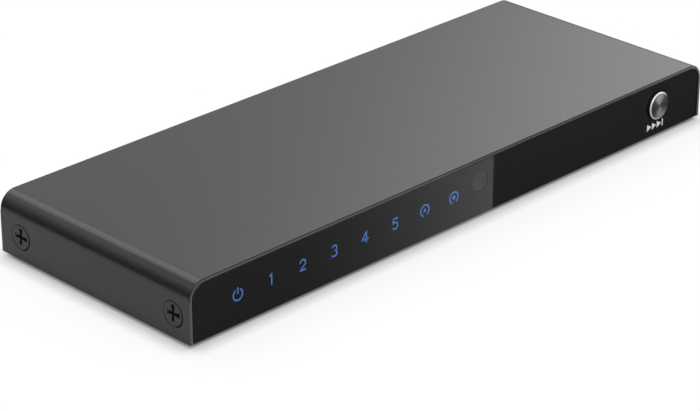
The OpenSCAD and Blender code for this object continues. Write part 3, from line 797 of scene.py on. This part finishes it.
# Signs around their own middle, the digits 3 mm high with the pen's width
RING = Stroke(0.75, -1.2, 32, ((1.42, 296),))
STROKES: dict[Sign, tuple[Stroke, ...]] = {
    Sign.POWER: (
        Stroke(-0.66, 1.04, 208, ((1.4, 304),)),
        Stroke(0, 1.6, 270, ((1.6, 0),)),
    ),
    Sign.ONE: (
        Stroke(0.3, 1.52, 270, ((3.05, 0),)),
        Stroke(0.36, 1.38, 218, ((0.95, 0),)),
    ),
    Sign.TWO: (
        Stroke(-0.82, 0.52, 90, ((0.82, -228), (1.9, 0))),
        Stroke(-1.02, -1.34, 0, ((2.0, 0),)),
    ),
    Sign.THREE: (
        Stroke(-0.74, 0.97, 65, ((0.65, -65), (0.3, 0), (0.65, -180), (0.35, 0))),
        Stroke(-0.2, 0.04, 0, ((0.35, 0), (0.69, -180), (0.3, 0), (0.69, -65))),
    ),
    Sign.FOUR: (
        Stroke(0.42, 1.42, 235, ((2.47, 0),)),
        Stroke(-1.15, -0.6, 0, ((2.3, 0),)),
        Stroke(0.42, 1.52, 270, ((3.05, 0),)),
    ),
    Sign.FIVE: (
        Stroke(-0.8, 1.34, 0, ((1.65, 0),)),
        Stroke(-0.66, 1.5, 266, ((1.45, 0),)),
        Stroke(-0.7, 0.04, 50, ((0.84, -290),)),
    ),
    Sign.RING_UP: (RING,),
    Sign.RING_POINT: (RING,),
}


@dataclass
class FrontMarks:
    """The lit signs and the small white sign, printed on the panel's face. In millimetres.

    Angles are in degrees. The white sign's bar stands at a share of its step.
    """

    ink: float = 0.03
    bite: float = 0.01
    pen: float = 0.37
    lamp: float = 3.2
    row_height: float = 8.5
    inner: float = 0.66
    arrow: float = 0.46
    arrow_place: Pair = (-0.77, -1.2)
    arrow_heading: float = -32.0
    white_place: Pair = (72.6, 3.6)
    white_size: float = 1.1
    white_step: float = 1.95
    white_bar: float = 0.86
    arc_step: float = 9.0

    def build(self) -> None:
        """Builds the eight lit signs over the lamps and the white sign under the button."""
        lo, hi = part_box("indicator_leds")
        first, last = lo.x + self.lamp * MM / 2, hi.x - self.lamp * MM / 2
        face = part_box("front_panel")[0].y
        signs = list(Sign)
        for number, sign in enumerate(signs):
            x = first + (last - first) * number / (len(signs) - 1)
            shape = self.sign(sign, Vector((x, face, self.row_height * MM)))
            shape.piece(f"mark_{sign.value}", "case", "panel_acrylic", [LIT_PRINT])
        self.build_white_sign(face)

    def sign(self, sign: Sign, place: Vector) -> Shape:
        """Builds one lit sign.

        Args:
            sign: The sign.
            place: Its middle on the panel's face.

        Returns:
            The sign's shape.
        """
        shape = Shape()
        for stroke in STROKES[sign]:
            self.draw(shape, place, stroke)
        if sign in (Sign.RING_UP, Sign.RING_POINT):
            x, z = self.arrow_place
            self.polygon(shape, place + Vector((x, 0, z)) * MM, self.arrow, 3, self.arrow_heading)
            self.polygon(shape, place, self.inner, 3 if sign is Sign.RING_UP else 4, 90)
        shape.face_outwards()
        return shape

    def draw(self, shape: Shape, place: Vector, stroke: Stroke) -> None:
        """Draws a stroke of ink with the pen's rectangular section.

        Args:
            shape: The shape that takes it.
            place: The sign's middle on the panel's face.
            stroke: The stroke.
        """
        bm = shape.bm
        at = place + Vector((stroke.x, 0, stroke.z)) * MM
        heading = math.radians(stroke.heading)
        left = Vector((-math.sin(heading), 0, math.cos(heading)))
        section = [(-0.5, -self.ink), (0.5, -self.ink), (0.5, self.bite), (-0.5, self.bite)]
        corners = [at + (left * side * self.pen + Y_AXIS * y) * MM for side, y in section]
        end = bm.faces.new([bm.verts.new(corner) for corner in corners])
        for size, turn in stroke.moves:
            ahead = Vector((math.cos(heading), 0, math.sin(heading)))
            left = Vector((-ahead.z, 0, ahead.x))
            if turn:
                hub = at + left * math.copysign(size * MM, turn)
                made = bmesh.ops.spin(
                    bm, geom=[*end.verts, *end.edges, end], cent=hub, axis=-Y_AXIS, dvec=(0, 0, 0),
                    angle=math.radians(turn), steps=max(2, round(abs(turn) / self.arc_step)),
                    use_merge=False, use_duplicate=False,
                )["geom_last"]
                at = hub + Matrix.Rotation(-math.radians(turn), 3, "Y") @ (at - hub)
                heading += math.radians(turn)
            else:
                made = bmesh.ops.extrude_face_region(bm, geom=[end])["geom"]
                bmesh.ops.translate(bm, vec=ahead * size * MM, verts=verts_in(made))
                at = at + ahead * size * MM
            end = next(part for part in made if isinstance(part, bmesh.types.BMFace))

    def polygon(
        self, shape: Shape, place: Vector, radius: float, sides: int, towards: float,
    ) -> None:
        """Adds a flat regular polygon of ink.

        Args:
            shape: The shape that takes it.
            place: Its middle.
            radius: Distance of its corners from the middle.
            sides: Number of its sides.
            towards: Where its first corner points, in degrees from +X towards +Z.
        """
        spin = Matrix.Rotation(math.radians(towards - 90), 4, "Z")
        turn = Matrix.Rotation(math.pi / 2, 4, "X") @ spin
        middle_of_ink = place + Y_AXIS * (self.bite - self.ink) / 2 * MM
        bmesh.ops.create_cone(
            shape.bm, cap_ends=True, cap_tris=False, segments=sides, radius1=radius * MM,
            radius2=radius * MM, depth=(self.ink + self.bite) * MM,
            matrix=Matrix.Translation(middle_of_ink) @ turn,
        )

    def build_white_sign(self, face: float) -> None:
        """Builds the plain white sign under the button: three triangles that point at a bar.

        Args:
            face: Y of the panel's face, in metres.
        """
        x, z = self.white_place
        place = Vector((x * MM, face, z * MM))
        shape = Shape()
        for step in (-2, -1, 0):
            spot = place + X_AXIS * step * self.white_step * MM
            self.polygon(shape, spot, self.white_size, 3, 0)
        half = self.white_size * math.sin(math.pi / 3)
        bar = Stroke(self.white_step * self.white_bar, -half, 90, ((2 * half, 0),))
        self.draw(shape, place, bar)
        shape.face_outwards()
        shape.piece("white_step_sign", "case", "panel_acrylic", [WHITE_PRINT])


@dataclass
class SelectButton:
    """The turned aluminium cap of the button. In millimetres."""

    rim: float = 0.27
    rings: int = 12
    ring_depth: float = 0.008
    dish: float = 0.02
    pocket: float = 0.9
    pocket_radius: float = 2.55

    def build(self) -> None:
        """Builds the cap: a ringed face, a painted highlight on the rim and painted shade on the
        skirt with the stem's pocket.
        """
        lo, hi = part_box("select_button_cap")
        centre = Vector(((lo.x + hi.x) / 2, lo.y, (lo.z + hi.z) / 2))
        radius, depth = (hi.x - lo.x) / 2, hi.y - lo.y
        flat = radius - self.rim * MM
        steps = 2 * self.rings
        heights = [(self.dish + self.ring_depth * (i % 2)) * MM for i in range(steps)]
        face = [(flat * i / steps, height) for i, height in enumerate(heights)]
        skirt = [
            (flat, 0.0), (radius, self.rim * MM), (radius, depth),
            (self.pocket_radius * MM, depth), (self.pocket_radius * MM, self.pocket * MM),
            (0.0, self.pocket * MM),
        ]
        shape = Shape()
        shape.turned(face + skirt, centre, Y_AXIS)
        for part in shape.bm.faces:
            place = part.calc_center_median() - centre
            # The rim takes a painted highlight and the skirt painted shade, both copies of the one
            # aluminium
            part.material_index = int(place.xz.length > flat) + int(place.y > self.rim * MM)
        shape.piece(
            "select_button_face", "select_button", "button_aluminium",
            [SPUN_ALUMINIUM, RIM_PAINTED_HIGHLIGHT, SKIRT_PAINTED_SHADE], ["select_button_cap"],
        )


@dataclass
class Feet:
    """Four round rubber feet under the tray. In millimetres."""

    edge: float = 0.3
    corners: tuple[str, ...] = ("front_left", "front_right", "rear_left", "rear_right")

    def build(self) -> None:
        """Builds each foot in its CAD node's place."""
        for corner in self.corners:
            node = f"foot_{corner}"
            lo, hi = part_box(node)
            centre = Vector(((lo.x + hi.x) / 2, (lo.y + hi.y) / 2, lo.z))
            radius, height = (hi.x - lo.x) / 2, hi.z - lo.z
            shape = Shape()
            shape.turned([(0, 0), (radius, 0), (radius, height), (0, height)], centre, Z_AXIS)
            shape.soften(self.edge * MM)
            shape.piece(f"foot_pad_{corner}", "case", "foot_rubber", [FOOT_RUBBER], [node])


@dataclass
class InnerParts:
    """The CAD nodes whose own shape shows, each dressed in its finish."""

    finishes: tuple[tuple[Finish, tuple[str, ...]], ...] = (
        (TRAY_COAT, ("base_tray",)),
        (TAPE_FOAM, ("front_panel_tape",)),
        (STEM_NYLON, ("select_button_stem",)),
        (BOARD_LAMINATE, ("main_board",)),
        (LAMP_PLASTIC, ("indicator_leds",)),
        (CONTACT_GOLD, ("_contacts",)),
        (BRIGHT_STEEL, (
            "board_standoffs", "board_screws", "bulk_capacitors", "clock_crystal", "dc_jack_pin",
            "dc_jack_leaf", "_shell",
        )),
    )

    def dress(self, nodes: dict[str, bpy.types.Object]) -> None:
        """Gives each shown node its finish, black plastic where none is named.

        Args:
            nodes: The frame's nodes by name.
        """
        for name, node in nodes.items():
            fitting = (finish for finish, endings in self.finishes if name.endswith(endings))
            finish = next(fitting, BLACK_PLASTIC)
            node.data.materials.clear()
            node.data.materials.append(finish.material())
            log.info("%s: %s", name, finish.name)


def lay(name: str, bm: bmesh.types.BMesh, material: bpy.types.Material) -> bpy.types.Object:
    """Puts a flat mesh into the scene as a part of the stage.

    Args:
        name: Name of the object.
        bm: Its mesh, which is used up.
        material: Its material.

    Returns:
        The new object.
    """
    mesh = bpy.data.meshes.new(name)
    bm.to_mesh(mesh)
    bm.free()
    mesh.materials.append(material)
    made = bpy.data.objects.new(name, mesh)
    bpy.context.scene.collection.objects.link(made)
    return made


@dataclass(frozen=True)
class SoftLamp:
    """A square soft lamp that looks at the object. In millimetres and watts."""

    name: str
    place: tuple[float, float, float]
    size: float
    power: float

    def build(self) -> None:
        """Hangs the lamp."""
        data = bpy.data.lights.new(self.name, "AREA")
        data.size = self.size * MM
        data.energy = self.power
        lamp = bpy.data.objects.new(self.name, data)
        lamp.location = Vector(self.place) * MM
        lamp.rotation_euler = (-lamp.location).to_track_quat("-Z", "Y").to_euler()
        bpy.context.scene.collection.objects.link(lamp)


@dataclass(frozen=True)
class GlossCard:
    """A flat card that only gloss sees, whose light grows along a direction. In metres."""

    name: str
    corners: tuple[Vector, ...]
    levels: Pair
    way: Vector = X_AXIS
    span: Pair = (0.0, 1.0)
    curve: float = 1.0

    def build(self) -> None:
        """Stands the card in the studio."""
        bm = bmesh.new()
        bm.faces.new([bm.verts.new(corner) for corner in self.corners])
        card = lay(self.name, bm, self.paper())
        for ray in ("camera", "diffuse", "transmission", "volume_scatter", "shadow"):
            setattr(card, f"visible_{ray}", False)

    def paper(self) -> bpy.types.Material:
        """Makes the card's paper.

        Returns:
            A material that glows brighter along the card's way.
        """
        made = bpy.data.materials.new(f"{self.name}_paper")
        tree = empty_tree(made)
        place = add_node(tree, "TexCoord", {}).outputs["Object"]
        along = add_node(tree, "VectorMath", {0: place, 1: self.way}, operation="DOT_PRODUCT")
        start, end = self.span
        ends = {"Value": along.outputs["Value"], "From Min": start, "From Max": end}
        share = add_node(tree, "MapRange", ends).outputs["Result"]
        low, high = self.levels
        bent = combine(tree, "POWER", share, self.curve)
        light = combine(tree, "MULTIPLY_ADD", bent, high - low, low)
        glow = add_node(tree, "Emission", {"Strength": light})
        add_node(tree, "OutputMaterial", {"Surface": glow.outputs[0]})
        return made


@dataclass
class Studio:
    """The camera, the floor, the cards, the sky and the lamps. Places are in millimetres.

    Fan cards serve the button, side cards the left shoulder and the wall card the top.
    """

    eye: tuple[float, float, float] = (-424.91, -418.86, 280.56)
    tilt: float = 64.3252
    heading: float = -44.9533
    lens: float = 136.49
    floor_radius: float = 6000.0
    floor_colour: str = "#FAFAFA"
    floor_glow: float = 0.8
    shade_reach: float = 5.0
    sky: Pairs = (
        (0.0, 0.03), (0.2, 0.1), (0.34, 0.36), (0.44, 0.65),
        (0.55, 0.85), (0.7, 0.95), (1.0, 0.6),
    )
    sky_way: tuple[float, float, float] = (0.92, 0.39, 0.0)
    sky_swing: Pair = (0.4, 1.6)
    lamps: tuple[SoftLamp, ...] = (
        SoftLamp("back_softbox", (100, 750, 1000), 700, 3.3),
        SoftLamp("front_softbox", (-450, -650, 800), 900, 5.0),
    )
    card_levels: Pair = (0.04, 0.85)
    card_places: Pair = (-72.0, 9.4)
    card_spare: float = 2.0
    card_lift: float = 0.1
    card_curve: float = 2.0
    dark_lift: float = 0.05
    fan_floor: Pairs = (
        (20, -36), (20, -150), (140, -150), (99, -92), (132, -40), (112, -52), (92, -36),
    )
    fan_ends: Pairs = ((99, -92), (132, -40))
    fan_lift: float = 0.2
    fan_height: float = 45.0
    fan_level: float = 2.0
    side_floor: Pairs = ((-138, -60), (-138, 700), (-900, 700), (-900, -60))
    side_ends: Pairs = ((-900, -60), (-138, 700))
    side_heights: Pair = (60.0, 520.0)
    side_levels: Pair = (0.15, 2.2)
    side_curve: float = 1.4
    wall_place: float = 600.0
    wall_corners: Pairs = ((-260, 90), (200, 90), (200, 400), (-260, 400))
    wall_way: Pair = (0.8, 0.6)
    wall_span: Pair = (85.0, 218.0)
    wall_levels: Pair = (1.03, 2.85)
    wall_curve: float = 1.3

    def build(self) -> None:
        """Builds the studio around the object."""
        self.build_camera()
        self.build_floor()
        self.build_panel_cards()
        self.build_button_cards()
        self.build_side_cards()
        self.build_top_card()
        self.build_sky()
        for lamp in self.lamps:
            lamp.build()
        bpy.context.scene.view_settings.view_transform = "Standard"

    def build_camera(self) -> None:
        """Sets the camera where the photograph was taken from."""
        data = bpy.data.cameras.new("camera")
        data.lens = self.lens
        camera = bpy.data.objects.new("camera", data)
        camera.location = Vector(self.eye) * MM
        camera.rotation_euler = (math.radians(self.tilt), 0.0, math.radians(self.heading))
        bpy.context.scene.collection.objects.link(camera)
        bpy.context.scene.camera = camera

    def build_floor(self) -> None:
        """Lays the pale floor, which shows only from above."""
        bm = bmesh.new()
        radius = self.floor_radius * MM
        bmesh.ops.create_circle(bm, cap_ends=True, segments=RING_STEPS, radius=radius)
        lay("floor", bm, self.paper()).location.z = CAD_BOX[0].z

    def paper(self) -> bpy.types.Material:
        """Makes the matt white paper of the floor.

        Returns:
            A material that glows where nothing is near and is clear from below.
        """
        made = bpy.data.materials.new("matt_white_paper")
        tree = empty_tree(made)
        matt = add_node(tree, "BsdfDiffuse", {"Color": linear(self.floor_colour)})
        reach = {"Distance": self.shade_reach * MM}
        open_sky = add_node(tree, "AmbientOcclusion", reach).outputs["AO"]
        white = add_node(tree, "Emission", {"Strength": open_sky})
        path = add_node(tree, "LightPath", {}).outputs
        seen = path["Is Camera Ray"]
        for ray in ("Is Glossy Ray", "Is Transmission Ray"):
            seen = combine(tree, "MAXIMUM", seen, path[ray])
        share = combine(tree, "MULTIPLY", seen, self.floor_glow)
        lit = add_node(tree, "MixShader", {0: share, 1: matt.outputs[0], 2: white.outputs[0]})
        clear = add_node(tree, "BsdfTransparent", {})
        below = add_node(tree, "NewGeometry", {}).outputs["Backfacing"]
        mixed = add_node(tree, "MixShader", {0: below, 1: lit.outputs[0], 2: clear.outputs[0]})
        add_node(tree, "OutputMaterial", {"Surface": mixed.outputs[0]})
        return made

    def mirrored(self, x: float, z: float) -> Vector:
        """Gives the point of the floor that the camera sees in the panel's gloss.

        Args:
            x: X of the spot on the panel, in metres.
            z: Z of the spot.

        Returns:
            The point on the floor.
        """
        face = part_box("front_panel")[0].y
        eye = Vector(self.eye) * MM
        eye.y = 2 * face - eye.y
        return eye + (Vector((x, face, z)) - eye) * (eye.z / (eye.z - z))

    def build_panel_cards(self) -> None:
        """Lays a graded and a dark card where the panel mirrors the floor."""
        lo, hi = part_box("front_panel")
        start, edge = (place * MM for place in self.card_places)
        columns = (lo.x, edge, hi.x + self.card_spare * MM)
        low, high = (
            [self.mirrored(x, z) + Z_AXIS * self.card_lift * MM for x in columns]
            for z in (lo.z, hi.z)
        )
        dark, light = self.card_levels
        GlossCard(
            "graded_floor_card", (low[0], high[0], high[1], low[1]), (dark, light),
            X_AXIS + Y_AXIS, (start + lo.y, edge + lo.y), self.card_curve,
        ).build()
        corners = (low[1], high[1], high[2], low[2])
        GlossCard("dark_floor_card", corners, (dark, dark)).build()

    def lay_dark_card(self, name: str, outline: Sequence[Pair]) -> None:
        """Lays a dark card on the floor.

        Args:
            name: Name of the card.
            outline: X and Y of its corners.
        """
        dark = self.card_levels[0]
        corners = tuple(Vector((x, y, self.dark_lift)) * MM for x, y in outline)
        GlossCard(name, corners, (dark, dark)).build()

    def build_button_cards(self) -> None:
        """Lays a dark card before the button and stands a light one on it, for the two fans."""
        self.lay_dark_card("fan_floor_card", self.fan_floor)
        start, end = (Vector((x, y, self.fan_lift)) * MM for x, y in self.fan_ends)
        rise = Z_AXIS * self.fan_height * MM
        levels = (self.fan_level, self.fan_level)
        GlossCard("fan_card", (start, end, end + rise, start + rise), levels).build()

    def build_side_cards(self) -> None:
        """Lays a dark card on the left and stands a graded one behind it, for the shoulder."""
        self.lay_dark_card("side_floor_card", self.side_floor)
        start, end = (Vector((x, y, 0)) * MM for x, y in self.side_ends)
        low, high = (Z_AXIS * height * MM for height in self.side_heights)
        GlossCard(
            "side_wall_card", (start + low, end + low, end + high, start + high),
            self.side_levels, Z_AXIS, (low.z, high.z), self.side_curve,
        ).build()

    def build_top_card(self) -> None:
        """Stands a graded card where the top mirrors it."""
        along = (X_AXIS - Y_AXIS).normalized()
        behind = (X_AXIS + Y_AXIS) * self.wall_place / 2
        corners = tuple(
            (behind + along * place + Z_AXIS * height) * MM for place, height in self.wall_corners
        )
        aside, up = self.wall_way
        way = along * aside + Z_AXIS * up
        span = (self.wall_span[0] * MM, self.wall_span[1] * MM)
        GlossCard("graded_wall_card", corners, self.wall_levels, way, span, self.wall_curve).build()

    def build_sky(self) -> None:
        """Makes the soft light from above, which fades towards the horizon and the left."""
        world = bpy.data.worlds.new("studio")
        bpy.context.scene.world = world
        tree = empty_tree(world)
        way = add_node(tree, "TexCoord", {}).outputs["Generated"]
        height = add_node(tree, "SeparateXYZ", {"Vector": way}).outputs["Z"]
        ramp = add_node(tree, "ValToRGB", {"Fac": height})
        stops = ramp.color_ramp.elements
        while len(stops) < len(self.sky):
            stops.new(0.5)
        brightest = max(level for _, level in self.sky)
        for stop, (place, level) in zip(stops, self.sky):
            stop.position = place
            stop.color = (level / brightest,) * 3 + (1.0,)
        along = add_node(tree, "VectorMath", {0: way, 1: self.sky_way}, operation="DOT_PRODUCT")
        low, high = (level * brightest for level in self.sky_swing)
        ends = {"Value": along.outputs["Value"], "From Min": -1.0, "To Min": low, "To Max": high}
        swing = add_node(tree, "MapRange", ends).outputs["Result"]
        glow = {"Color": ramp.outputs["Color"], "Strength": swing}
        light = add_node(tree, "Background", glow)
        add_node(tree, "OutputWorld", {"Surface": light.outputs[0]})


def main() -> None:
    """Builds every piece in order."""
    logging.basicConfig(level=logging.INFO, format="%(message)s")
    screws = ScrewPlaces.from_frame()
    InnerParts().dress(frame["nodes"])
    TopCover().build(screws)
    SideScrews().build(screws)
    FrontPanel().build()
    FrontMarks().build()
    SelectButton().build()
    Feet().build()
    Studio().build()


if __name__ == "__main__":
    main()
